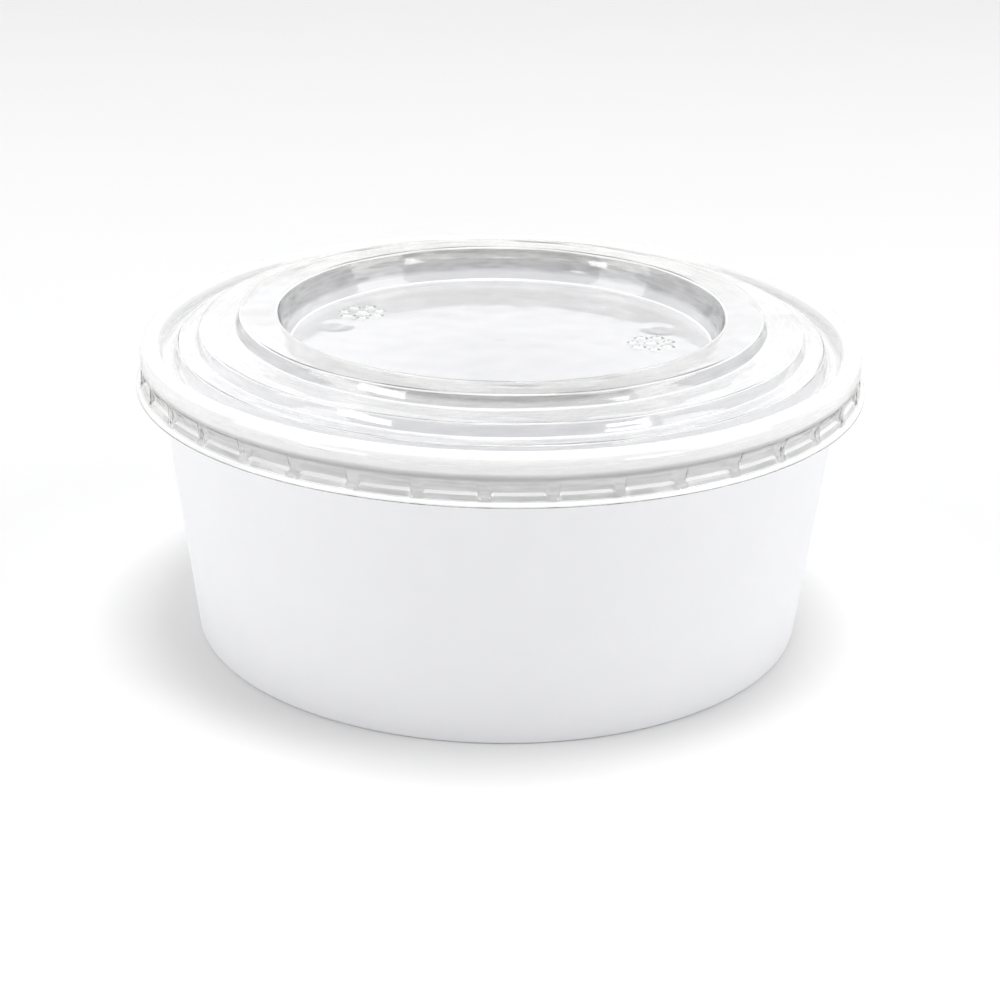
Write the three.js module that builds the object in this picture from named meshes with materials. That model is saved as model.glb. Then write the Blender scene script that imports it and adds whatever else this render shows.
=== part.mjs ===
import * as THREE from 'three';

// A takeaway salad bowl of white paperboard, shut by a clear stepped press-on lid.
// Millimetres, +Z up. The origin is the centre of the foot, on the table.

// Paper bowl
const PAPER = 0.45;
const FOOT_RADIUS = 65.0;
const WALL_TOP_RADIUS = 72.0;
const FOLD_HEIGHT = 6.5;
const BASE_UNDERSIDE_Z = 7.0;
const BASE_SKIRT_BOTTOM_Z = 0.8;

// Rolled rim: an oval curl of paper, open below, next to the wall
const ROLL_CENTRE_Z = 60.7;
const ROLL_HALF_WIDTH = 1.5;
const ROLL_HALF_HEIGHT = 2.4;
const ROLL_END_DEG = -125;

// Clear lid
const PLASTIC = 0.4;
const FIT_GAP = 0.3;
const WELL_FLOOR = { radius: 44.3, z: 61.1 };
const WELL_BEND = { radius: 46.0, z: 65.6 };
const TOP_RING = { inner: 46.8, outer: 54.6, z: 68.4 };
const MIDDLE_LEDGE = { inner: 55.6, outer: 62.9, z: 65.4 };
const LOW_LEDGE = { inner: 63.8, outer: 67.5, z: 62.8 };
const CHANNEL = { inner: 68.4, outer: 69.9, z: 59.0 };
const LUG_TOP_Z = 59.2;
const LUG_CREASE = { radius: 73.9, z: 56.35 };
const SKIRT_FOOT = { radius: 75.45, z: 54.8 };
const LIP_EDGE = { radius: 76.4, z: 54.15 };

// Grip lugs: pockets pressed into the skirt, with a narrow rib between each two
const LUG_COUNT = 38;
const FIRST_RIB_DEG = -91.9;
const RIB_HALF_WIDTH_DEG = 0.45;
const LUG_SIDE_DEG = 0.95;

// Columns around the axis
const PAPER_COLUMNS = 60;
const STEP_COLUMNS = LUG_COUNT;
const COVER_COLUMNS = 2 * LUG_COUNT;
const CURL_STEPS = 8;
const COVER_STEPS = 5;

const WALL_SLOPE = (WALL_TOP_RADIUS - FOOT_RADIUS) / ROLL_CENTRE_Z;
const ROLL_CENTRE_RADIUS = WALL_TOP_RADIUS - PAPER + ROLL_HALF_WIDTH;

const paperMaterial = new THREE.MeshStandardMaterial({ color: 0xf0f1f4, roughness: 0.7, metalness: 0 });
const plasticMaterial = new THREE.MeshStandardMaterial({
  color: 0xf3f6f8, roughness: 0.06, metalness: 0, transparent: true, opacity: 0.3,
});

// A point on a surface parallel to the leaning wall, `depth` inside its outer face.
function wallPoint(depth, z) {
  return new THREE.Vector2(FOOT_RADIUS - depth + WALL_SLOPE * z, z);
}

// A point of the oval around the middle of the rolled rim, `growth` outside the paper.
function rollPoint(degrees, growth) {
  const angle = THREE.MathUtils.degToRad(degrees);
  return new THREE.Vector2(
    ROLL_CENTRE_RADIUS + (ROLL_HALF_WIDTH + growth) * Math.cos(angle),
    ROLL_CENTRE_Z + (ROLL_HALF_HEIGHT + growth) * Math.sin(angle),
  );
}

function rollArc(startDegrees, endDegrees, steps, growth) {
  const points = [];
  for (let step = 0; step <= steps; step += 1) {
    const degrees = startDegrees + ((endDegrees - startDegrees) * step) / steps;
    points.push(rollPoint(degrees, growth));
  }
  return points;
}

// Turns a profile of (radius, height) points about the Z axis.
function revolve(profile, columns) {
  const geometry = new THREE.LatheGeometry(profile, columns);
  geometry.rotateX(Math.PI / 2);
  return geometry;
}

// The side wall: one strip of paper, curled outward at the top and folded up
// inside at the bottom, where it holds the skirt of the base in its slot.
function bowlWallGeometry() {
  const slotDepth = PAPER + FIT_GAP + PAPER + FIT_GAP;
  const foldDepth = slotDepth + PAPER;
  const profile = [
    wallPoint(0, 0),
    ...rollArc(180, ROLL_END_DEG, CURL_STEPS, -PAPER),
    ...rollArc(ROLL_END_DEG, 180, CURL_STEPS, 0),
    wallPoint(PAPER, PAPER),
    wallPoint(slotDepth, PAPER),
    wallPoint(slotDepth, FOLD_HEIGHT),
    wallPoint(foldDepth, FOLD_HEIGHT),
    wallPoint(foldDepth, 0),
    wallPoint(0, 0),
  ];
  return revolve(profile, PAPER_COLUMNS);
}

// The base: a paper disc with its edge turned down into the slot of the wall.
function bowlBaseGeometry() {
  const outerDepth = PAPER + FIT_GAP;
  const innerDepth = outerDepth + PAPER;
  const topZ = BASE_UNDERSIDE_Z + PAPER;
  const profile = [
    new THREE.Vector2(0, BASE_UNDERSIDE_Z),
    wallPoint(innerDepth, BASE_UNDERSIDE_Z),
    wallPoint(innerDepth, BASE_SKIRT_BOTTOM_Z),
    wallPoint(outerDepth, BASE_SKIRT_BOTTOM_Z),
    wallPoint(outerDepth, topZ),
    new THREE.Vector2(0, topZ),
  ];
  return revolve(profile, PAPER_COLUMNS);
}

function evenAngles(columns, startDegrees) {
  const step = 360 / columns;
  return Array.from({ length: columns }, (_, index) => startDegrees + index * step);
}

// Four columns to a lug: both sides of the rib, then both sides of the pocket.
function lugAngles() {
  const pitch = 360 / LUG_COUNT;
  const withinPitch = [-RIB_HALF_WIDTH_DEG, RIB_HALF_WIDTH_DEG, LUG_SIDE_DEG, pitch - LUG_SIDE_DEG];
  const angles = [];
  for (let lug = 0; lug < LUG_COUNT; lug += 1) {
    withinPitch.forEach((degrees) => angles.push(FIRST_RIB_DEG + lug * pitch + degrees));
  }
  return angles;
}

function isPocketColumn(index) {
  return index % 4 >= 2;
}

// The lid's outer surface as rows from the centre of the well to the edge of the lip.
function lidRows() {
  const steps = evenAngles(STEP_COLUMNS, -90);
  const cover = evenAngles(COVER_COLUMNS, -90);
  const lugs = lugAngles();
  const stepRow = (radius, z) => ({ radius, z, angles: steps });
  const coverRow = (radius, z) => ({ radius, z, angles: cover });
  const coverTop = rollArc(180, 0, COVER_STEPS, FIT_GAP + PLASTIC);
  const skirtRadius = coverTop[COVER_STEPS].x;
  return [
    stepRow(WELL_FLOOR.radius, WELL_FLOOR.z),
    stepRow(WELL_BEND.radius, WELL_BEND.z),
    stepRow(TOP_RING.inner, TOP_RING.z),
    stepRow(TOP_RING.outer, TOP_RING.z),
    stepRow(MIDDLE_LEDGE.inner, MIDDLE_LEDGE.z),
    stepRow(MIDDLE_LEDGE.outer, MIDDLE_LEDGE.z),
    stepRow(LOW_LEDGE.inner, LOW_LEDGE.z),
    coverRow(LOW_LEDGE.outer, LOW_LEDGE.z),
    coverRow(CHANNEL.inner, CHANNEL.z),
    coverRow(CHANNEL.outer, CHANNEL.z),
    ...coverTop.map((point) => coverRow(point.x, point.y)),
    { radius: skirtRadius, z: LUG_TOP_Z, angles: lugs },
    { radius: skirtRadius, z: LUG_CREASE.z, angles: lugs, pocketRadius: LUG_CREASE.radius },
    { radius: SKIRT_FOOT.radius, z: SKIRT_FOOT.z, angles: lugs },
    coverRow(LIP_EDGE.radius, LIP_EDGE.z),
  ];
}

// The unit normal of the outer surface between two rows, pointing away from the bowl.
function segmentNormal(from, to) {
  return new THREE.Vector2(from.z - to.z, to.radius - from.radius).normalize();
}

// Moves every row into the plastic by its thickness, keeping the corners sharp.
function innerRows(rows) {
  return rows.map((row, index) => {
    const before = rows[index - 1] ?? { radius: 0, z: row.z };
    const after = rows[index + 1];
    const normalBefore = segmentNormal(before, row);
    const normalAfter = after ? segmentNormal(row, after) : normalBefore;
    const shift = normalBefore.clone().add(normalAfter);
    shift.multiplyScalar(-PLASTIC / (1 + normalBefore.dot(normalAfter)));
    const moved = { ...row, radius: row.radius + shift.x, z: row.z + shift.y };
    if (row.pocketRadius) {
      moved.pocketRadius = row.pocketRadius - PLASTIC;
    }
    return moved;
  });
}

function addRow(row, positions) {
  const first = positions.length / 3;
  row.angles.forEach((degrees, index) => {
    const angle = THREE.MathUtils.degToRad(degrees);
    const inPocket = row.pocketRadius && isPocketColumn(index);
    const radius = inPocket ? row.pocketRadius : row.radius;
    positions.push(radius * Math.cos(angle), radius * Math.sin(angle), row.z);
  });
  return { first, angles: row.angles };
}

// Joins two rows with triangles. Each step goes to whichever next column comes first,
// so that rows with different columns fit together.
function stitch(low, high, indices) {
  const lowCount = low.angles.length;
  const highCount = high.angles.length;
  const next = (row, index) => row.angles[(index + 1) % row.angles.length]
    + (index + 1 < row.angles.length ? 0 : 360);
  let lowIndex = 0;
  let highIndex = 0;
  while (lowIndex < lowCount || highIndex < highCount) {
    const a = low.first + (lowIndex % lowCount);
    const b = high.first + (highIndex % highCount);
    const lowIsNext = next(low, lowIndex) <= next(high, highIndex);
    if (highIndex === highCount || (lowIndex < lowCount && lowIsNext)) {
      lowIndex += 1;
      indices.push(a, b, low.first + (lowIndex % lowCount));
    } else {
      highIndex += 1;
      indices.push(a, b, high.first + (highIndex % highCount));
    }
  }
}

// Closes the first or last row with a fan around a point on the axis.
function closeWithFan(row, z, facesUp, positions, indices) {
  const centre = positions.length / 3;
  positions.push(0, 0, z);
  row.angles.forEach((_, index) => {
    const a = row.first + index;
    const b = row.first + ((index + 1) % row.angles.length);
    indices.push(centre, facesUp ? a : b, facesUp ? b : a);
  });
}

// The lid: its outer rows outward to the lip, then its inner rows back to the axis.
function lidGeometry() {
  const outer = lidRows();
  const inner = innerRows(outer);
  const positions = [];
  const indices = [];
  const loop = [...outer, ...inner.reverse()].map((row) => addRow(row, positions));
  for (let index = 0; index + 1 < loop.length; index += 1) {
    stitch(loop[index], loop[index + 1], indices);
  }
  closeWithFan(loop[0], WELL_FLOOR.z, true, positions, indices);
  closeWithFan(loop[loop.length - 1], WELL_FLOOR.z - PLASTIC, false, positions, indices);
  const geometry = new THREE.BufferGeometry();
  geometry.setAttribute('position', new THREE.Float32BufferAttribute(positions, 3));
  geometry.setIndex(indices);
  geometry.computeVertexNormals();
  return geometry;
}

function namedMesh(name, geometry, material) {
  const mesh = new THREE.Mesh(geometry, material);
  mesh.name = name;
  return mesh;
}

const saladBowl = new THREE.Group();
saladBowl.add(namedMesh('bowl_wall', bowlWallGeometry(), paperMaterial));
saladBowl.add(namedMesh('bowl_base', bowlBaseGeometry(), paperMaterial.clone()));
saladBowl.add(namedMesh('lid', lidGeometry(), plasticMaterial));

export default saladBowl;
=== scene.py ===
"""A takeaway salad bowl of white paperboard, shut by a clear stepped press-on lid.

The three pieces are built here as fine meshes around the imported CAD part. Sizes are in
millimetres and are turned into metres as each mesh is made. +Z is up, the origin is the
centre of the foot on the table, and -Y faces the viewer.
"""

import math

import bmesh
import bpy
import numpy as np
from mathutils import Matrix


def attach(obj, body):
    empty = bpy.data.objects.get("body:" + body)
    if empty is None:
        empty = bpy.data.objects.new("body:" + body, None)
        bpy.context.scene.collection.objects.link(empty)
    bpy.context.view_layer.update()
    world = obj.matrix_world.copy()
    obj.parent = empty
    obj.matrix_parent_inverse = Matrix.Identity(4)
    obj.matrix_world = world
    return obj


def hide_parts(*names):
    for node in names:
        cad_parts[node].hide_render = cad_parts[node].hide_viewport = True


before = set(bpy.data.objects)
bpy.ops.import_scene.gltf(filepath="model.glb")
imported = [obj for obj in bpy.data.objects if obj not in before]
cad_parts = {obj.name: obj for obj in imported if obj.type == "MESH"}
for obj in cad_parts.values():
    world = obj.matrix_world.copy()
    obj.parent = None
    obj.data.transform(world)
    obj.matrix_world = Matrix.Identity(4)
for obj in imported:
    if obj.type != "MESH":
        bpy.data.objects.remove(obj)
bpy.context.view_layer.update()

MM = 0.001

# Paper bowl
PAPER = 0.45
FOOT_RADIUS = 65.0
WALL_TOP_RADIUS = 72.0
FOLD_HEIGHT = 6.5
BASE_UNDERSIDE_Z = 7.0
BASE_SKIRT_BOTTOM_Z = 0.8
FOOT_FILLET = 0.5
BASE_FILLET = 1.1
BASE_CROWN = ((58.0, 0.0), (40.0, 0.12), (20.0, 0.2), (6.0, 0.2))  # (radius, rise)
GLUE_GAP = 0.04
WALL_COLUMNS, BASE_COLUMNS = 192, 144
WALL_ROWS = 14

# Rolled rim
ROLL_CENTRE_Z = 60.7
ROLL_HALF_WIDTH = 1.5
ROLL_HALF_HEIGHT = 2.4
ROLL_TUCK_START_DEG = -60.0
ROLL_END_DEG = -215.0
ROLL_TUCK_SHRINK = 0.36
UNDER_ROLL_Z = ROLL_CENTRE_Z - 2.0

# Side seam of the paper, behind the right side
SEAM_DEG = 20.0
SEAM_HALF_WIDTH = 3.5
SEAM_RAMP = 3.0
SEAM_CUT = 0.12
SEAM_RISE = 0.26
SEAM_SHARE_ON_ROLL = 0.35

# Clear lid
PLASTIC = 0.4
FIT_GAP = 0.3
WELL_FLOOR_Z = 61.1
RING_Z = 68.33
MIDDLE_Z = 65.4
LOW_Z = 62.8
CHANNEL_Z = 59.0
LUG_TOP_Z = 59.2
LUG_CREASE_Z = 56.35
SKIRT_FOOT_Z = 54.8
LIP_Z = 54.15
WELL_FLOOR_EDGE = 43.0
MARKS_EDGE = 41.0
WELL_FOOT_RADIUS = 44.3
WELL_KINK = (46.0, 65.6)
RING_INNER, RING_OUTER = 46.8, 54.6
RING_CROWN, RING_DROP = 51.0, 0.2
MIDDLE_INNER, MIDDLE_OUTER = 55.6, 62.9
LOW_INNER, LOW_OUTER = 63.8, 67.5
CHANNEL_INNER, CHANNEL_OUTER = 68.4, 69.9
LUG_CREASE_RADIUS = 73.9
LUG_STEP = (74.55, 55.8)
SKIRT_FOOT_RADIUS = 75.45
LIP_RADIUS = 76.28
LIP_THICKNESS = 0.2
LIP_TAPER = 1.5
POLE_DIP = 0.02
LONGEST_ROW = 0.9

# Waves of the formed sheet: (height, waves around, turn per millimetre across, start)
SHEET_WAVES = ((0.040, 5, 0.9, 0.0), (0.028, 11, -1.9, 1.0), (0.014, 17, 1.3, 2.0))

# Grip lugs: pockets in the skirt, with a narrow rib between each two
LUG_COUNT = 38
FIRST_RIB_DEG = -91.9
RIB_HALF_WIDTH_DEG = 0.3
LUG_SIDE_DEG = 1.35

# Raised marks on the sunken floor: studs in rings of (count, ring radius, stud radius), beside a
# shallow dent
MARK_CENTRES = ((-30.4, 17.5), (31.6, -1.0))
DENT_CENTRES = ((-35.5, 8.5), (34.0, 9.5))
STUD_RINGS = ((1, 0.0, 1.6), (7, 3.9, 1.3))
STUD_HEIGHT = 0.55
STUD_TURN = 0.35
STUD_VARIETY, STUD_VARIETY_TURN = 0.25, 2.6
DENT_RADIUS = 5.0
DENT_DEPTH = 0.22
FLOOR_WAVE = 0.05
FLOOR_RADII = np.concatenate((
    [3, 8, 13, 18, 22], np.arange(24.0, 41.6, 0.4), [WELL_FLOOR_EDGE],
))
FLOOR_START_DEG = -179.7
CLOSE_COLUMN_DEG, WIDE_COLUMN_DEG, MARK_MARGIN_DEG = 0.62, 4.0, 10.0

PITCH_DEG = 360.0 / LUG_COUNT
WALL_SLOPE = (WALL_TOP_RADIUS - FOOT_RADIUS) / ROLL_CENTRE_Z
ROLL_CENTRE_RADIUS = WALL_TOP_RADIUS - PAPER + ROLL_HALF_WIDTH
SKIRT_RADIUS = ROLL_CENTRE_RADIUS + ROLL_HALF_WIDTH + FIT_GAP + PLASTIC


# ---------------------------------------------------------------- outlines

def rounded(corners, step_degrees=15.0):
    """Points (radius, height) along corners (radius, height, fillet), each fillet as an arc."""
    points = [np.array(corners[0][:2], float)]
    for before, corner, after in zip(corners, corners[1:], corners[2:]):
        centre = np.array(corner[:2], float)
        into = centre - np.array(before[:2], float)
        out = np.array(after[:2], float) - centre
        into /= np.linalg.norm(into)
        out /= np.linalg.norm(out)
        turn = math.atan2(into[0] * out[1] - into[1] * out[0], float(into @ out))
        if corner[2] == 0 or abs(turn) < 1e-3:
            points.append(centre)
            continue
        side = math.copysign(1.0, turn)
        start = centre - into * corner[2] * math.tan(abs(turn) / 2)
        middle = start + side * corner[2] * np.array((-into[1], into[0]))
        steps = max(2, math.ceil(abs(math.degrees(turn)) / step_degrees))
        for step in range(steps + 1):
            angle = turn * step / steps
            arm = start - middle
            turned = (
                arm[0] * math.cos(angle) - arm[1] * math.sin(angle),
                arm[0] * math.sin(angle) + arm[1] * math.cos(angle),
            )
            points.append(middle + np.array(turned))
    points.append(np.array(corners[-1][:2], float))
    return np.array(points)


def shifted(path, distance):
    """The path moved sideways, to the right of its direction, with sharp corners kept."""
    steps = np.diff(path, axis=0)
    steps /= np.linalg.norm(steps, axis=1)[:, None]
    normals = np.stack((steps[:, 1], -steps[:, 0]), axis=1)
    before = np.vstack((normals[:1], normals))
    after = np.vstack((normals, normals[-1:]))
    spread = 1 + np.sum(before * after, axis=1)
    return path + distance * (before + after) / spread[:, None]


def filled(path, longest):
    """The path with points added, so that no stretch is longer than this."""
    points = [path[:1]]
    for start, end in zip(path, path[1:]):
        count = math.ceil(np.linalg.norm(end - start) / longest)
        shares = np.arange(1, count + 1)[:, None] / count
        points.append(start + shares * (end - start))
    return np.vstack(points)


def wall_point(depth, z):
    """A point of a surface parallel to the leaning wall, depth inside its outer face."""
    return (FOOT_RADIUS - depth + WALL_SLOPE * z, z)


def smooth(edge0, edge1, value):
    """0 below edge0, 1 above edge1, with a smooth step between."""
    share = np.clip((value - edge0) / (edge1 - edge0), 0.0, 1.0)
    return share * share * (3 - 2 * share)


# ---------------------------------------------------------------- meshes

def even_angles(count, start=0.0):
    return start + np.arange(count) * 360.0 / count


def ring_row(degrees, radius, height):
    """One closed row of points, as (angles, points)."""
    degrees = np.asarray(degrees, float)
    turn = np.radians(degrees)
    radius = np.broadcast_to(radius, degrees.shape)
    height = np.broadcast_to(height, degrees.shape)
    points = np.stack((radius * np.cos(turn), radius * np.sin(turn), height), axis=1)
    return degrees, points


def zip_rows(first_a, angles_a, first_b, angles_b):
    """Faces between two closed rows. Rows with different columns are joined by triangles."""
    count_a, count_b = len(angles_a), len(angles_b)
    if count_a == count_b and np.allclose(angles_a, angles_b):
        following = (np.arange(count_a) + 1) % count_a
        here = np.arange(count_a)
        return np.stack(
            (first_a + here, first_a + following, first_b + following, first_b + here), axis=1
        ).tolist()
    ends_a = np.append(angles_a[1:], angles_a[0] + 360)
    ends_b = np.append(angles_b[1:], angles_b[0] + 360)
    faces = []
    a = b = 0
    while a < count_a or b < count_b:
        here_a = first_a + a % count_a
        here_b = first_b + b % count_b
        if b == count_b or (a < count_a and ends_a[a] <= ends_b[b]):
            a += 1
            faces.append((here_a, first_a + a % count_a, here_b))
        else:
            b += 1
            faces.append((here_a, first_b + b % count_b, here_b))
    return faces


def rows_to_mesh(name, rows, closed, poles=(None, None)):
    """A mesh of revolution from closed rows. closed joins the last row to the first, and a
    pole is the height of a point on the axis that closes the first or the last row."""
    points, faces, firsts = [], [], []
    for degrees, row in rows:
        firsts.append(len(points))
        points.extend(row.tolist())
    pairs = list(zip(range(len(rows)), range(1, len(rows))))
    if closed:
        pairs.append((len(rows) - 1, 0))
    for low, high in pairs:
        faces += zip_rows(firsts[low], rows[low][0], firsts[high], rows[high][0])
    for pole, which in zip(poles, (0, -1)):
        if pole is None:
            continue
        count = len(rows[which][0])
        points.append((0.0, 0.0, pole))
        for column in range(count):
            ends = [firsts[which] + column, firsts[which] + (column + 1) % count]
            if which == 0:
                ends.reverse()
            faces.append((len(points) - 1, *ends))
    mesh = bpy.data.meshes.new(name)
    mesh.from_pydata((np.array(points) * MM).tolist(), [], faces)
    face_outward(mesh)
    return mesh


def face_outward(mesh):
    work = bmesh.new()
    work.from_mesh(mesh)
    bmesh.ops.recalc_face_normals(work, faces=work.faces)
    work.to_mesh(mesh)
    work.free()


def add_piece(name, mesh, sharp_degrees):
    mesh.shade_smooth()
    mesh.set_sharp_from_angle(angle=math.radians(sharp_degrees))
    piece = bpy.data.objects.new(name, mesh)
    bpy.context.scene.collection.objects.link(piece)
    return piece


# ---------------------------------------------------------------- paper bowl

def roll_path(steps=40):
    """The middle line of the rolled rim: over the top, down outside, and tucked in."""
    points = []
    for degrees in np.linspace(180.0, ROLL_END_DEG, steps):
        tuck = smooth(-ROLL_TUCK_START_DEG, -ROLL_END_DEG, -degrees)
        size = 1.0 - ROLL_TUCK_SHRINK * tuck
        turn = math.radians(degrees)
        points.append((
            ROLL_CENTRE_RADIUS + (ROLL_HALF_WIDTH - PAPER / 2) * size * math.cos(turn),
            ROLL_CENTRE_Z + (ROLL_HALF_HEIGHT - PAPER / 2) * size * math.sin(turn),
        ))
    return np.array(points)


def seam_rise(degrees, radius, mirrored):
    """How far the paper stands proud at its overlapped side seam: a slow ramp up over the
    layer beneath, then a cut edge. The inside is the mirror image."""
    along = np.radians(degrees - SEAM_DEG) * radius * (-1 if mirrored else 1)
    ramp = smooth(-SEAM_HALF_WIDTH - SEAM_RAMP, -SEAM_HALF_WIDTH, along)
    cut = 1 - smooth(SEAM_HALF_WIDTH, SEAM_HALF_WIDTH + SEAM_CUT, along)
    return SEAM_RISE * ramp * cut


def wall_angles():
    """Even columns, with more of them across the seam."""
    half = math.degrees((SEAM_HALF_WIDTH + SEAM_RAMP + 1) / FOOT_RADIUS)
    cut = math.degrees(SEAM_CUT / FOOT_RADIUS)
    edge = math.degrees(SEAM_HALF_WIDTH / FOOT_RADIUS)
    close = np.concatenate((
        np.linspace(-half, half, 25),
        [-edge - cut, -edge - cut / 2, -edge, edge, edge + cut / 2, edge + cut],
    ))
    even = even_angles(WALL_COLUMNS, SEAM_DEG - 180)
    far = even[np.abs(even - SEAM_DEG) > half + 0.5]
    return np.sort(np.concatenate((far, SEAM_DEG + close)))


def bowl_wall_mesh():
    fold_depth = 3.5 * PAPER + GLUE_GAP + FIT_GAP
    middle = PAPER / 2
    folded = rounded([
        (*wall_point(fold_depth, FOLD_HEIGHT), 0),
        (*wall_point(fold_depth, middle), FOOT_FILLET),
        (*wall_point(middle, middle), FOOT_FILLET),
        (*wall_point(middle, UNDER_ROLL_Z), 0),
    ])
    heights = np.linspace(3.0, UNDER_ROLL_Z, WALL_ROWS)
    leaning = np.array([wall_point(middle, z) for z in heights])
    path = np.vstack((folded[:-1], leaning, roll_path()))
    outer = shifted(path, PAPER / 2)
    inner = shifted(path, -PAPER / 2)
    angles = wall_angles()
    rows = []
    on_wall = len(folded) - 1
    off_wall = on_wall + len(leaning)
    for index, (radius, z) in enumerate(outer):
        share = float(index >= on_wall) * (1.0 if index < off_wall else SEAM_SHARE_ON_ROLL)
        rows.append(ring_row(angles, radius + share * seam_rise(angles, FOOT_RADIUS, False), z))
    for index in range(len(inner) - 1, -1, -1):
        radius, z = inner[index]
        share = float(on_wall <= index < off_wall)
        rows.append(ring_row(angles, radius - share * seam_rise(angles, FOOT_RADIUS, True), z))
    return rows_to_mesh("bowl_wall_paper", rows, closed=True)


def bowl_base_mesh():
    depth = 1.5 * PAPER + GLUE_GAP
    middle_z = BASE_UNDERSIDE_Z + PAPER / 2
    path = rounded([
        (*wall_point(depth, BASE_SKIRT_BOTTOM_Z), 0),
        (*wall_point(depth, middle_z), BASE_FILLET),
        *((radius, middle_z + rise, 0) for radius, rise in BASE_CROWN),
    ])
    angles = even_angles(BASE_COLUMNS)
    top = [ring_row(angles, radius, z) for radius, z in shifted(path, PAPER / 2)]
    bottom = [ring_row(angles, radius, z) for radius, z in shifted(path, -PAPER / 2)]
    rows = top[::-1] + bottom
    return rows_to_mesh("bowl_base_paper", rows, False, (top[-1][1][0][2], bottom[-1][1][0][2]))


# ---------------------------------------------------------------- clear lid

def lug_angles():
    """Columns close together on both sides of each rib, and wide apart in the pockets."""
    side = np.array([0.25, 0.45, 0.65, 0.85, 1.05, 1.3, 1.8])
    pocket = np.linspace(side[-1], PITCH_DEG - side[-1], 5)[1:-1]
    within = np.concatenate((-side[::-1], [0.0], side, pocket))
    ribs = FIRST_RIB_DEG + PITCH_DEG * np.arange(LUG_COUNT)
    columns = (ribs[:, None] + within[None, :]).ravel()
    return np.sort((columns + 180) % 360 - 180)


def pocket_share(degrees):
    """0 on the ribs and 1 in the pockets."""
    from_rib = np.abs((degrees - FIRST_RIB_DEG + PITCH_DEG / 2) % PITCH_DEG - PITCH_DEG / 2)
    return smooth(RIB_HALF_WIDTH_DEG, LUG_SIDE_DEG, from_rib)


def floor_rise(x, y):
    """Height of the marks, the dents and the sheet's slight unevenness above the sunken floor."""
    rise = FLOOR_WAVE * (np.cos(x * 0.13 + 1.0) * np.cos(y * 0.11 + 0.4) - 1)
    for centre_x, centre_y in MARK_CENTRES:
        for count, ring, radius in STUD_RINGS:
            for step in range(count):
                turn = 2 * math.pi * (step + STUD_TURN) / count
                size = radius * (1 + STUD_VARIETY * math.sin(STUD_VARIETY_TURN * step + ring))
                stud_x = centre_x + ring * math.cos(turn)
                stud_y = centre_y + ring * math.sin(turn)
                far = np.hypot(x - stud_x, y - stud_y) / size
                rise = rise + STUD_HEIGHT * (1 - smooth(0.1, 1.0, far))
    for centre_x, centre_y in DENT_CENTRES:
        far = np.hypot(x - centre_x, y - centre_y)
        rise = rise - DENT_DEPTH * (1 - smooth(0.35, 1.0, far / DENT_RADIUS))
    return rise


def floor_angles():
    """Columns close together under the marks and the dents, and wide apart elsewhere."""
    close = []
    for mark, dent in zip(MARK_CENTRES, DENT_CENTRES):
        ends = [math.degrees(math.atan2(y, x)) % 360 for x, y in (mark, dent)]
        ends = [end - 360 if end > 270 else end for end in ends]
        close.append((min(ends) - MARK_MARGIN_DEG, max(ends) + MARK_MARGIN_DEG))
    angles = []
    here = FLOOR_START_DEG
    while here < 180.0:
        angles.append(here)
        dense = any(low <= here + turn <= high for low, high in close for turn in (0, 360))
        here += CLOSE_COLUMN_DEG if dense else WIDE_COLUMN_DEG
    return np.array(angles)


def floor_rows(offset):
    """Rows of the sunken floor from the middle outward, offset below its top face."""
    angles = floor_angles()
    turn = np.radians(angles)
    rows = []
    for radius in FLOOR_RADII:
        fade = 1 - smooth(MARKS_EDGE, WELL_FLOOR_EDGE, radius)
        rise = floor_rise(radius * np.cos(turn), radius * np.sin(turn)) * fade
        rows.append(ring_row(angles, radius, WELL_FLOOR_Z + rise - offset))
    return rows


def step_path():
    """The lid's outer face from the sunken floor over the ring and the ledges to the channel."""
    return rounded([
        (WELL_FLOOR_EDGE, WELL_FLOOR_Z, 0),
        (WELL_FOOT_RADIUS, WELL_FLOOR_Z, 0.7),
        (*WELL_KINK, 1.2),
        (RING_INNER, RING_Z - RING_DROP, 0.7),
        (RING_CROWN, RING_Z, 20.0),
        (RING_OUTER, RING_Z - RING_DROP, 0.6),
        (MIDDLE_INNER, MIDDLE_Z, 0.55),
        (MIDDLE_OUTER, MIDDLE_Z, 0.5),
        (LOW_INNER, LOW_Z, 0.55),
        (LOW_OUTER, LOW_Z, 0.4),
        (CHANNEL_INNER, CHANNEL_Z, 0.8),
        (CHANNEL_OUTER, CHANNEL_Z, 0.8),
        (2 * ROLL_CENTRE_RADIUS - SKIRT_RADIUS, ROLL_CENTRE_Z, 0),
    ])


def cover_path(steps=20):
    """The lid's outer face over the rolled rim, without its first point."""
    half_width = SKIRT_RADIUS - ROLL_CENTRE_RADIUS
    half_height = ROLL_HALF_HEIGHT + FIT_GAP + PLASTIC
    turn = np.radians(np.linspace(180.0, 0.0, steps + 1))[1:]
    return np.stack((
        ROLL_CENTRE_RADIUS + half_width * np.cos(turn),
        ROLL_CENTRE_Z + half_height * np.sin(turn),
    ), axis=1)


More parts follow.
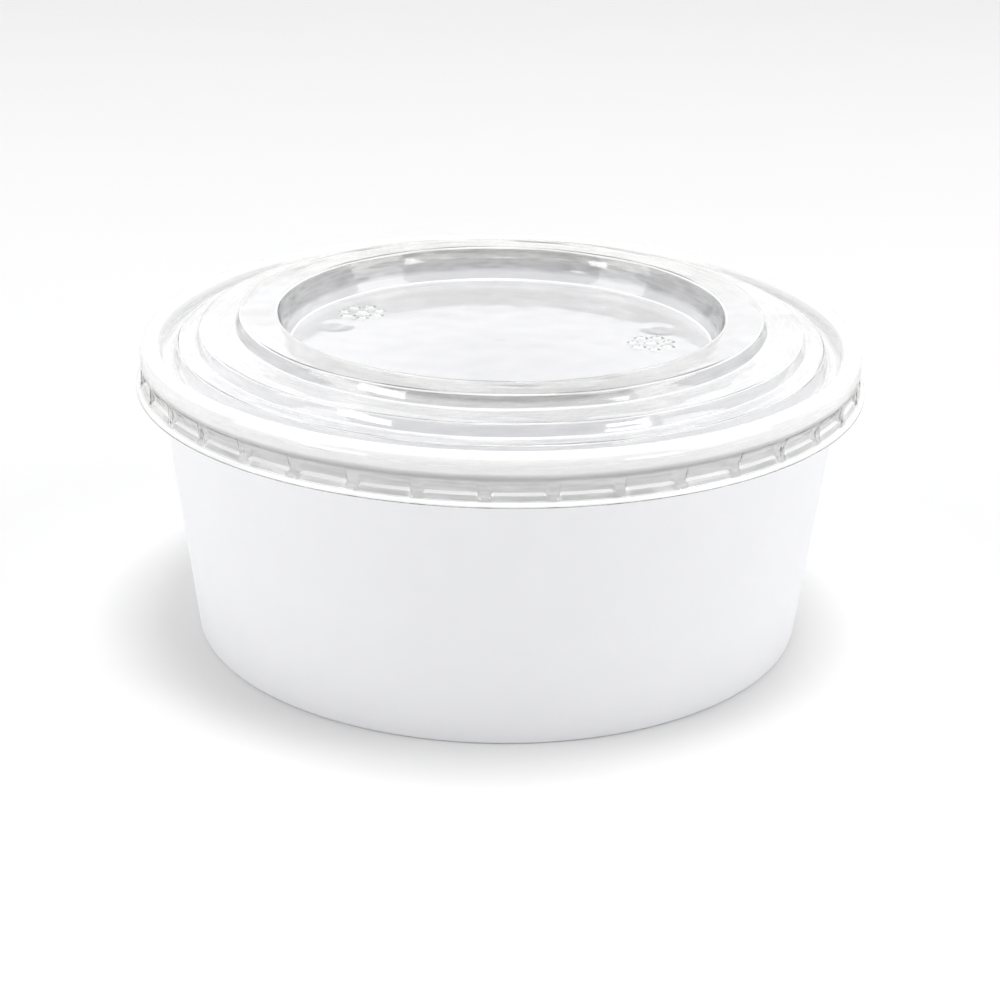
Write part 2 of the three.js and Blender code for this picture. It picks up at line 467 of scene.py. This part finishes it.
def skirt_paths():
    """The lid's outer face below the cover, in a pocket and on a rib, row by row."""
    foot = (SKIRT_FOOT_RADIUS, SKIRT_FOOT_Z, 0.45)
    end = (LIP_RADIUS, LIP_Z, 0)
    start = (SKIRT_RADIUS, ROLL_CENTRE_Z, 0)
    pocket = rounded([
        start,
        (SKIRT_RADIUS, LUG_TOP_Z, 0.8),
        (LUG_CREASE_RADIUS, LUG_CREASE_Z, 0.3),
        (*LUG_STEP, 0.35),
        foot,
        end,
    ])[1:]
    pocket = np.vstack((pocket[:3], (pocket[2:3] + pocket[3:4]) / 2, pocket[3:]))
    plain = rounded([start, (SKIRT_RADIUS, LUG_CREASE_Z + 0.5, 0.8), foot, end])
    radii = np.interp(-pocket[:, 1], -plain[:, 1], plain[:, 0])
    rib = np.stack((radii, pocket[:, 1]), axis=1)
    return pocket, rib


def sheet_wave(degrees, along, length):
    """How far the formed sheet strays from true, in slow waves around and across the steps."""
    turn = np.radians(degrees)
    wave = sum(
        size * np.sin(count * turn + advance * along + start)
        for size, count, advance, start in SHEET_WAVES
    )
    return wave * smooth(0.0, 3.0, along) * smooth(0.0, 4.0, length - along)


def lid_mesh():
    steps, cover = filled(step_path(), LONGEST_ROW), cover_path()
    pocket_end, rib_end = skirt_paths()
    pocket = np.vstack((steps, cover, pocket_end))
    rib = np.vstack((steps, cover, rib_end))
    even = even_angles(6 * LUG_COUNT, -180.0)
    lugs = lug_angles()
    share = pocket_share(lugs)
    along = np.concatenate(([0.0], np.cumsum(np.linalg.norm(np.diff(steps, axis=0), axis=1))))
    sideways = shifted(steps, 1.0) - steps
    to_lip = np.linalg.norm(pocket - pocket[-1], axis=1)
    thickness = LIP_THICKNESS + (PLASTIC - LIP_THICKNESS) * smooth(0.0, LIP_TAPER, to_lip)

    def face_rows(depth):
        pocket_face = shifted(pocket, depth * thickness[:, None])
        rib_face = shifted(rib, depth * thickness[:, None])
        rows = []
        for index in range(len(pocket)):
            if index < len(steps):
                wave = sheet_wave(even, along[index], along[-1])[:, None] * sideways[index]
                rows.append(ring_row(even, *(pocket_face[index] + wave).T))
                continue
            if index < len(steps) + len(cover):
                rows.append(ring_row(even, *pocket_face[index]))
                continue
            blend = share[:, None] * pocket_face[index] + (1 - share[:, None]) * rib_face[index]
            rows.append(ring_row(lugs, blend[:, 0], blend[:, 1]))
        return rows

    top = floor_rows(0.0)[:-1] + face_rows(0.0)
    under = floor_rows(PLASTIC)[:-1] + face_rows(1.0)
    out = pocket[-1] - pocket[-2]
    edge = shifted(pocket, LIP_THICKNESS / 2)[-1] + out / np.linalg.norm(out) * LIP_THICKNESS / 2
    rows = top + [ring_row(lugs, *edge)] + under[::-1]
    poles = (WELL_FLOOR_Z - POLE_DIP, WELL_FLOOR_Z - PLASTIC - POLE_DIP)
    return rows_to_mesh("lid_clear", rows, False, poles)


# ---------------------------------------------------------------- materials

# Edges between the zones of the clear sheet, as (from, to) in millimetres: radii
WELL_EDGE = (46.9, 47.3)
FLOOR_EDGE = (46.5, 47.0)
LEDGES_EDGE = (54.8, 55.4)
# where the painted shade on the steep faces lightens outward
SHADE_FADES_OUTWARD = (56.0, 62.0)
COVER_INSIDE = (70.2, 70.8)
SKIRT_INSIDE = (72.8, 73.2)
# and heights
LIP_BOTTOM, LIP_TOP = (54.12, 54.22), (54.75, 54.9)
POCKET_STEP = (55.68, 55.82)
# the painted shadow line under the paper's roll starts here
ROLL_SHADOW_LINE_BOTTOM = (58.5, 59.0)
COVER_BOTTOM = (59.0, 60.5)
SKIRT_TOP = (59.2, 60.2)
WELL_DARKENS = (62.8, 63.8)

# Colours of the sheet, as (in the densest streaks or haze, in the thinnest). The floor and ledge
# colours vary at random; the riser, well and skirt colours are painted shade, the roll line is a
# painted shadow and the white is painted highlights.
FLOOR_TINTS = ((0.955, 0.954, 0.948), (0.997, 0.996, 0.99))
LEDGE_TINTS = ((0.93, 0.929, 0.922), (1.0, 0.999, 0.993))
# Painted shade on the steep faces and on the side of the sunken centre
INNER_RISER_PAINTED_SHADE = ((0.78, 0.778, 0.77), (0.88, 0.878, 0.87))
OUTER_RISER_PAINTED_SHADE = ((0.91, 0.907, 0.898), (0.995, 0.992, 0.983))
WELL_LOW_PAINTED_SHADE = ((0.93, 0.928, 0.922), (0.98, 0.978, 0.972))
WELL_HIGH_PAINTED_SHADE = ((0.56, 0.558, 0.553), (0.74, 0.738, 0.732))
# Painted shade on the skirt, and the painted shadow line under the paper's roll
SKIRT_PAINTED_SHADE = ((0.62, 0.618, 0.612), (0.80, 0.798, 0.792))
ROLL_SHADOW_LINE_TINT = (0.48, 0.478, 0.474, 1.0)
# Painted highlights: diffuse white on the creases, pocket steps, lip, cover top and ledge streaks
HIGHLIGHT_WHITE = (1.0, 1.0, 1.0, 1.0)
HIGHLIGHT_IN_LEDGE_STREAKS = 0.22
HIGHLIGHT_ON_COVER = 0.6


class Nodes:
    """Short calls for the nodes of one material or world."""

    def __init__(self, owner):
        owner.use_nodes = True
        self.tree = owner.node_tree
        self.tree.nodes.clear()

    def add(self, kind, inputs=(), **settings):
        node = self.tree.nodes.new(kind)
        for key, value in settings.items():
            setattr(node, key, value)
        for key, value in dict(inputs).items():
            if isinstance(value, bpy.types.NodeSocket):
                self.tree.links.new(value, node.inputs[key])
            else:
                node.inputs[key].default_value = value
        return node

    def noise(self, place, size_mm, detail=3.0, roughness=0.5):
        return self.add("ShaderNodeTexNoise", {
            "Vector": place, "Scale": 1 / (size_mm * MM), "Detail": detail, "Roughness": roughness,
        }).outputs["Fac"]

    def ramp(self, value, low, high, low_at=0.35, high_at=0.65):
        node = self.add("ShaderNodeValToRGB", {"Fac": value})
        for stop, colour, at in zip(node.color_ramp.elements, (low, high), (low_at, high_at)):
            stop.color = (*colour, 1.0)
            stop.position = at
        return node.outputs["Color"]

    def span(self, value, low, high, from_low=0.3, from_high=0.7):
        """From low to high as the value runs between the other two, and constant beyond."""
        return self.add("ShaderNodeMapRange", {
            "Value": value,
            "From Min": from_low, "From Max": from_high, "To Min": low, "To Max": high,
        }).outputs["Result"]

    def rise(self, length, edges_mm):
        """0 below the first edge and 1 above the second."""
        return self.span(length, 0.0, 1.0, edges_mm[0] * MM, edges_mm[1] * MM)

    def fall(self, length, edges_mm):
        """1 below the first edge and 0 above the second."""
        return self.span(length, 1.0, 0.0, edges_mm[0] * MM, edges_mm[1] * MM)

    def math(self, operation, first, second=0.0):
        node = self.add("ShaderNodeMath", {0: first, 1: second}, operation=operation)
        return node.outputs["Value"]

    def times(self, first, second):
        return self.math("MULTIPLY", first, second)

    def vector(self, operation, first, second=(0.0, 0.0, 0.0), output="Vector"):
        node = self.add("ShaderNodeVectorMath", {0: first, 1: second}, operation=operation)
        return node.outputs[output]

    def mix(self, factor, low, high):
        """A mix of two colours."""
        node = self.add("ShaderNodeMix", {0: factor, 6: low, 7: high}, data_type="RGBA")
        return node.outputs[2]

    def blend(self, value, edges, low, high):
        """From the number low to the number high, smoothly, as the value passes the edges."""
        share = self.add("ShaderNodeMapRange", {
            "Value": value, "From Min": edges[0], "From Max": edges[1],
        }, interpolation_type="SMOOTHSTEP").outputs["Result"]
        return self.add("ShaderNodeMix", {"Factor": share, "A": low, "B": high}).outputs["Result"]


def paper_material(name, dark, light, roughness):
    """White coated board: cloudy whiteness, a fine fibre grain and a satin skin."""
    material = bpy.data.materials.new(name)
    nodes = Nodes(material)
    place = nodes.add("ShaderNodeTexCoord").outputs["Object"]
    clouds = nodes.noise(place, 9.0, 4.0, 0.6)
    fibres = nodes.noise(place, 0.7, 6.0, 0.7)
    grain = nodes.add("ShaderNodeBump", {"Height": fibres, "Strength": 0.25, "Distance": 0.03 * MM})
    shader = nodes.add("ShaderNodeBsdfPrincipled", {
        "Base Color": nodes.ramp(clouds, dark, light),
        "Roughness": nodes.span(fibres, roughness - 0.06, roughness + 0.06),
        "Specular IOR Level": 0.15,
        "Normal": grain.outputs["Normal"],
    })
    nodes.add("ShaderNodeOutputMaterial", {"Surface": shader.outputs["BSDF"]})
    return material


def on_cover(nodes, height, radius):
    """1 on the lid's cover over the rolled rim, and 0 elsewhere."""
    return nodes.times(nodes.rise(radius, COVER_INSIDE), nodes.rise(height, COVER_BOTTOM))


def painted_highlights(nodes, height, radius, level, streaks):
    """Where highlights are painted in diffuse white: 1 on the bent creases of the sheet, on the
    slanted step in each pocket and on the lip, less on top of the cover and in streaks on the
    ledges, and 0 on the other flat and steep faces. level is the size of the normal's Z."""
    on_ledges = nodes.times(
        nodes.rise(radius, LEDGES_EDGE), nodes.span(streaks, 0.0, HIGHLIGHT_IN_LEDGE_STREAKS)
    )
    leaves_steep = nodes.span(level, 0.0, 1.0, 0.42, 0.55)
    reaches_flat = nodes.span(level, 1.0, on_ledges, 0.86, 0.96)
    on_lip = nodes.times(nodes.rise(height, LIP_BOTTOM), nodes.fall(height, LIP_TOP))
    cover = nodes.times(
        on_cover(nodes, height, radius), nodes.span(level, 0.15, 0.7, 0.0, HIGHLIGHT_ON_COVER)
    )
    bent = nodes.times(leaves_steep, reaches_flat)
    crease = nodes.times(bent, nodes.rise(height, POCKET_STEP))
    return nodes.math("MAXIMUM", nodes.math("MAXIMUM", crease, cover), on_lip)


def drawn_streaks(nodes, aside, radius, height):
    """Fine streaks that run around the lid, as on any sheet that was drawn over a mould. They bump
    the surface and also vary the painted shade and painted highlights.
    """
    around = nodes.vector("NORMALIZE", aside)
    squeezed = nodes.vector("MULTIPLY", around, (8 * MM, 8 * MM, 0.0))
    outward = nodes.add("ShaderNodeCombineXYZ", {"Z": radius}).outputs["Vector"]
    return nodes.add("ShaderNodeTexNoise", {
        "Vector": nodes.vector("ADD", squeezed, outward),
        "W": height, "Scale": 1 / (0.8 * MM), "Detail": 3.0,
    }, noise_dimensions="4D").outputs["Fac"]


def riser_painted_shade(nodes, height, radius, streaks):
    """Painted shade on the steep faces, standing in for dark reflections and the shaded insides
    seen through them, lighter further out. The side of the sunken centre is painted nearly clear
    low down and dark above that."""
    inner = nodes.ramp(streaks, *INNER_RISER_PAINTED_SHADE)
    outer = nodes.ramp(streaks, *OUTER_RISER_PAINTED_SHADE)
    risers = nodes.mix(nodes.rise(radius, SHADE_FADES_OUTWARD), inner, outer)
    low = nodes.ramp(streaks, *WELL_LOW_PAINTED_SHADE)
    high = nodes.ramp(streaks, *WELL_HIGH_PAINTED_SHADE)
    well = nodes.mix(nodes.rise(height, WELL_DARKENS), low, high)
    return nodes.mix(nodes.fall(radius, WELL_EDGE), risers, well)


def flat_tint(nodes, place, radius, haze):
    """The colour of the flat faces: hazy on the sunken floor, and patchy outside it."""
    floor = nodes.ramp(haze, *FLOOR_TINTS)
    patches = nodes.noise(place, 16.0, 3.0, 0.6)
    ledges = nodes.ramp(patches, *LEDGE_TINTS, 0.4, 0.56)
    return nodes.mix(nodes.rise(radius, FLOOR_EDGE), floor, ledges)


def sheet_tint(nodes, height, radius, streaks, steps):
    """The sheet's colour: that of the steps, but with painted shade greying the skirt, and a darker
    painted shadow line below the cover, under the edge of the paper's roll."""
    on_skirt = nodes.times(nodes.rise(radius, SKIRT_INSIDE), nodes.fall(height, SKIRT_TOP))
    tint = nodes.mix(on_skirt, steps, nodes.ramp(streaks, *SKIRT_PAINTED_SHADE))
    # A painted shadow line under the paper's roll
    on_roll_shadow_line = nodes.times(on_skirt, nodes.rise(height, ROLL_SHADOW_LINE_BOTTOM))
    return nodes.mix(on_roll_shadow_line, tint, ROLL_SHADOW_LINE_TINT)


def plastic_material():
    """Clear formed sheet with light painted into its colour: painted shade greys it where it is
    steep and on the skirt, and painted highlights turn its creases, pocket steps, lip and cover
    diffuse white. Light from lamps and from pale surfaces passes it unbent, slightly dimmed, so
    that what is under the lid is lit."""
    material = bpy.data.materials.new("clear_sheet")
    nodes = Nodes(material)
    coordinates = nodes.add("ShaderNodeTexCoord").outputs
    place = coordinates["Object"]
    haze = nodes.noise(place, 6.0, 3.0)
    ripple = nodes.noise(place, 11.0, 1.0)
    tilt = nodes.add("ShaderNodeSeparateXYZ", {"Vector": coordinates["Normal"]}).outputs["Z"]
    level = nodes.math("ABSOLUTE", tilt)
    height = nodes.add("ShaderNodeSeparateXYZ", {"Vector": place}).outputs["Z"]
    aside = nodes.vector("MULTIPLY", place, (1, 1, 0))
    radius = nodes.vector("LENGTH", aside, output="Value")
    streaks = drawn_streaks(nodes, aside, radius, height)
    bump = nodes.add("ShaderNodeBump", {"Height": ripple, "Strength": 0.35, "Distance": 0.25 * MM})
    drawn = nodes.add("ShaderNodeBump", {
        "Height": streaks,
        "Strength": nodes.span(on_cover(nodes, height, radius), 0.3, 0.05, 0.0, 1.0),
        "Distance": 0.02 * MM,
        "Normal": bump.outputs["Normal"],
    })
    white = painted_highlights(nodes, height, radius, level, streaks)
    risers = riser_painted_shade(nodes, height, radius, streaks)
    flat = flat_tint(nodes, place, radius, haze)
    # Painted shade on the steep faces, random tone on the flat ones
    steps = nodes.mix(nodes.span(level, 0.0, 1.0, 0.45, 0.85), risers, flat)
    sheet = sheet_tint(nodes, height, radius, streaks, steps)
    # Painted highlights make the sheet diffuse white and less clear; painted shade greys it
    shader = nodes.add("ShaderNodeBsdfPrincipled", {
        "Base Color": nodes.mix(white, sheet, HIGHLIGHT_WHITE),
        "Roughness": nodes.span(haze, 0.04, 0.08),
        "IOR": 1.52,
        "Transmission Weight": nodes.span(white, 1.0, 0.2, 0.0, 1.0),
        "Normal": drawn.outputs["Normal"],
    })
    passing = nodes.add("ShaderNodeBsdfTransparent", {"Color": (0.995, 0.995, 0.993, 1.0)})
    path = nodes.add("ShaderNodeLightPath")
    soft = nodes.add("ShaderNodeMixShader", {
        0: path.outputs["Is Diffuse Ray"], 1: shader.outputs["BSDF"], 2: passing.outputs["BSDF"],
    })
    lamps = nodes.add("ShaderNodeMixShader", {
        0: path.outputs["Is Shadow Ray"], 1: soft.outputs["Shader"], 2: passing.outputs["BSDF"],
    })
    nodes.add("ShaderNodeOutputMaterial", {"Surface": lamps.outputs["Shader"]})
    return material


def floor_material():
    """A plain pale studio floor."""
    material = bpy.data.materials.new("studio_floor")
    nodes = Nodes(material)
    place = nodes.add("ShaderNodeTexCoord").outputs["Object"]
    clouds = nodes.noise(place, 60.0, 2.0)
    shader = nodes.add("ShaderNodeBsdfPrincipled", {
        "Base Color": nodes.ramp(clouds, (0.878, 0.878, 0.878), (0.882, 0.882, 0.882)),
        "Roughness": 0.9,
        "Specular IOR Level": 0.1,
    })
    nodes.add("ShaderNodeOutputMaterial", {"Surface": shader.outputs["BSDF"]})
    return material


# ---------------------------------------------------------------- pieces

paperboard = paper_material("white_paperboard", (0.92, 0.922, 0.94), (0.93, 0.932, 0.95), 0.5)
base_board = paper_material("white_base_board", (0.915, 0.917, 0.932), (0.928, 0.93, 0.945), 0.5)
clear_sheet = plastic_material()

bowl_wall = add_piece("bowl_wall_paper", bowl_wall_mesh(), 45.0)
bowl_wall.data.materials.append(paperboard)
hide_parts("bowl_wall")
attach(bowl_wall, "root")

bowl_base = add_piece("bowl_base_paper", bowl_base_mesh(), 45.0)
bowl_base.data.materials.append(base_board)
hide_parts("bowl_base")
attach(bowl_base, "root")

lid = add_piece("lid_clear", lid_mesh(), 50.0)
lid.data.materials.append(clear_sheet)
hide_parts("lid")
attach(lid, "root")


# ---------------------------------------------------------------- stage, light and camera

FLOOR_HALF = 4.0

# Brightness of the studio, and where it changes, as (from, to) parts of the view direction
LOW_LEVEL, FRONT_LEVEL, BACK_LEVEL, TOP_LEVEL = 0.68, 0.1, 1.27, 0.43
FRONT_TO_BACK = (0.0, 0.7)
REST_TO_TOP = (0.5, 0.85)
LOW_TO_REST = (0.09, 0.23)

# Soft lamps: azimuth, elevation, width and height in degrees, radiance, distance in metres
LAMP_AIM_HEIGHT = 0.06
SOFTBOXES = {
    "softbox_over": (90.0, 86.0, 17.0, 17.0, 15.0, 3.0),
    "softbox_right": (46.0, 13.0, 17.0, 7.0, 6.0, 1.6),
    "softbox_left": (-49.0, 13.0, 20.0, 7.0, 6.0, 1.6),
    "softbox_far_right": (74.0, 32.0, 30.0, 40.0, 2.4, 1.6),
    "softbox_far_left": (-72.0, 32.0, 30.0, 40.0, 2.25, 1.6),
}


def add_floor():
    mesh = bpy.data.meshes.new("studio_floor")
    corners = [(-FLOOR_HALF, -FLOOR_HALF), (FLOOR_HALF, -FLOOR_HALF),
               (FLOOR_HALF, FLOOR_HALF), (-FLOOR_HALF, FLOOR_HALF)]
    mesh.from_pydata([(x, y, 0.0) for x, y in corners], [], [(0, 1, 2, 3)])
    floor = bpy.data.objects.new("studio_floor", mesh)
    bpy.context.scene.collection.objects.link(floor)
    floor.data.materials.append(floor_material())


def light_world():
    """A studio with one even level low all round. Above that it is dim in front and bright
    behind, and between the two overhead."""
    world = bpy.data.worlds.new("studio")
    bpy.context.scene.world = world
    nodes = Nodes(world)
    direction = nodes.add("ShaderNodeTexCoord").outputs["Generated"]
    parts = nodes.add("ShaderNodeSeparateXYZ", {"Vector": direction}).outputs
    around = nodes.blend(parts["Y"], FRONT_TO_BACK, FRONT_LEVEL, BACK_LEVEL)
    upper = nodes.blend(parts["Z"], REST_TO_TOP, around, TOP_LEVEL)
    level = nodes.blend(parts["Z"], LOW_TO_REST, LOW_LEVEL, upper)
    background = nodes.add("ShaderNodeBackground", {"Color": level})
    nodes.add("ShaderNodeOutputWorld", {"Surface": background.outputs["Background"]})


def add_softbox(name, azimuth, elevation, width_degrees, height_degrees, radiance, distance):
    """A soft lamp aimed at the bowl. Azimuth 0 is towards the viewer, + to the right."""
    turn, rise = math.radians(azimuth), math.radians(elevation)
    lamp = bpy.data.lights.new(name, "AREA")
    lamp.shape = "RECTANGLE"
    lamp.size = 2 * distance * math.tan(math.radians(width_degrees / 2))
    lamp.size_y = 2 * distance * math.tan(math.radians(height_degrees / 2))
    lamp.energy = radiance * math.pi * lamp.size * lamp.size_y
    holder = bpy.data.objects.new(name, lamp)
    holder.location = (
        distance * math.cos(rise) * math.sin(turn),
        -distance * math.cos(rise) * math.cos(turn),
        distance * math.sin(rise) + LAMP_AIM_HEIGHT,
    )
    aim = Matrix.Rotation(turn, 4, "Z") @ Matrix.Rotation(math.pi / 2 - rise, 4, "X")
    holder.rotation_euler = aim.to_euler()
    holder.visible_camera = False
    bpy.context.scene.collection.objects.link(holder)


# Camera fitted to the photo's circles: millimetres, radians and pixels
CAMERA_DISTANCE = 440.0
CAMERA_HEIGHT = 204.04
CAMERA_ASIDE = 0.31
CAMERA_PITCH = 0.3872
CAMERA_ROLL = 0.0159
FOCAL_LENGTH_PX = 2190.9
FRAME_PX = 1000.0
SENSOR_MM = 36.0


def add_camera():
    data = bpy.data.cameras.new("camera")
    data.sensor_fit = "HORIZONTAL"
    data.sensor_width = SENSOR_MM
    data.lens = SENSOR_MM * FOCAL_LENGTH_PX / FRAME_PX
    data.clip_start = 0.01
    camera = bpy.data.objects.new("camera", data)
    place = (CAMERA_ASIDE * MM, -CAMERA_DISTANCE * MM, CAMERA_HEIGHT * MM)
    pitch = Matrix.Rotation(math.pi / 2 - CAMERA_PITCH, 4, "X")
    roll = Matrix.Rotation(CAMERA_ROLL, 4, "Z")
    camera.matrix_world = Matrix.Translation(place) @ (pitch @ roll)
    bpy.context.scene.collection.objects.link(camera)
    bpy.context.scene.camera = camera


add_floor()
light_world()
for name, settings in SOFTBOXES.items():
    add_softbox(name, *settings)
add_camera()
bpy.context.scene.view_settings.view_transform = "Standard"
